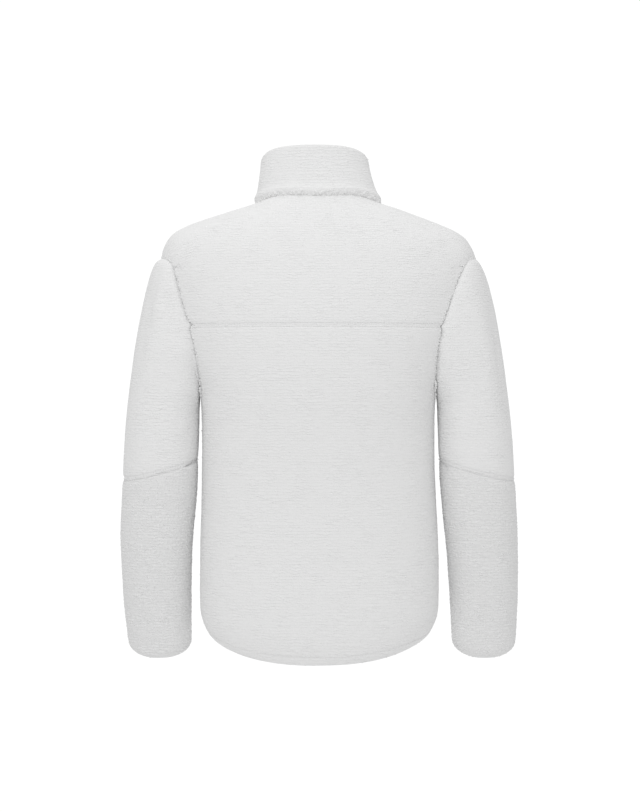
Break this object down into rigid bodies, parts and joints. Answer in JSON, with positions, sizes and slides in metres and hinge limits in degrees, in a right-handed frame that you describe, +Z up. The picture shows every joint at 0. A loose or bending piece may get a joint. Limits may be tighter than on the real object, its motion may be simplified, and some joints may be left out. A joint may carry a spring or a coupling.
{
  "type": "pile fleece zip jacket",
  "caption": "Plain pale pile fleece jacket, filled out as worn, with a stand-up collar, back yoke, long sleeves seamed at the elbow, turned-in cuffs and a front zip.",
  "frame": {"origin": "middle of the base of the neck, at the height of the shoulder points, where a wearer carries the jacket", "axes": "+Z up along the body, the wearer faces -Y so +Y is the back, and the wearer's left arm is at +X"},
  "size_m": [0.618, 0.2567, 0.7886],
  "materials": {
    "fleece": "matte pile fleece",
    "tape": "matte woven tape",
    "teeth": "semi-gloss",
    "metal": "satin"
  },
  "bodies": {
    "jacket": {"back_yoke": "fleece", "back_panel": "fleece", "front_left": "fleece", "front_right": "fleece", "collar": "fleece", "sleeve_upper_left": "fleece", "sleeve_upper_right": "fleece", "sleeve_lower_left": "fleece", "sleeve_lower_right": "fleece", "zip_tape_left": "tape", "zip_tape_right": "tape", "zip_chain": "teeth", "zip_box": "teeth", "zip_slider": "metal"},
    "pull_tab": {"zip_pull": "metal"}
  },
  "joints": [
    {"name": "pull_tab_swing", "type": "hinge", "parent": "jacket", "child": "pull_tab", "pos_m": [0.00222, -0.0727, 0.0152], "axis": [-1, 0, 0], "range_deg": [0, 170]}
  ]
}
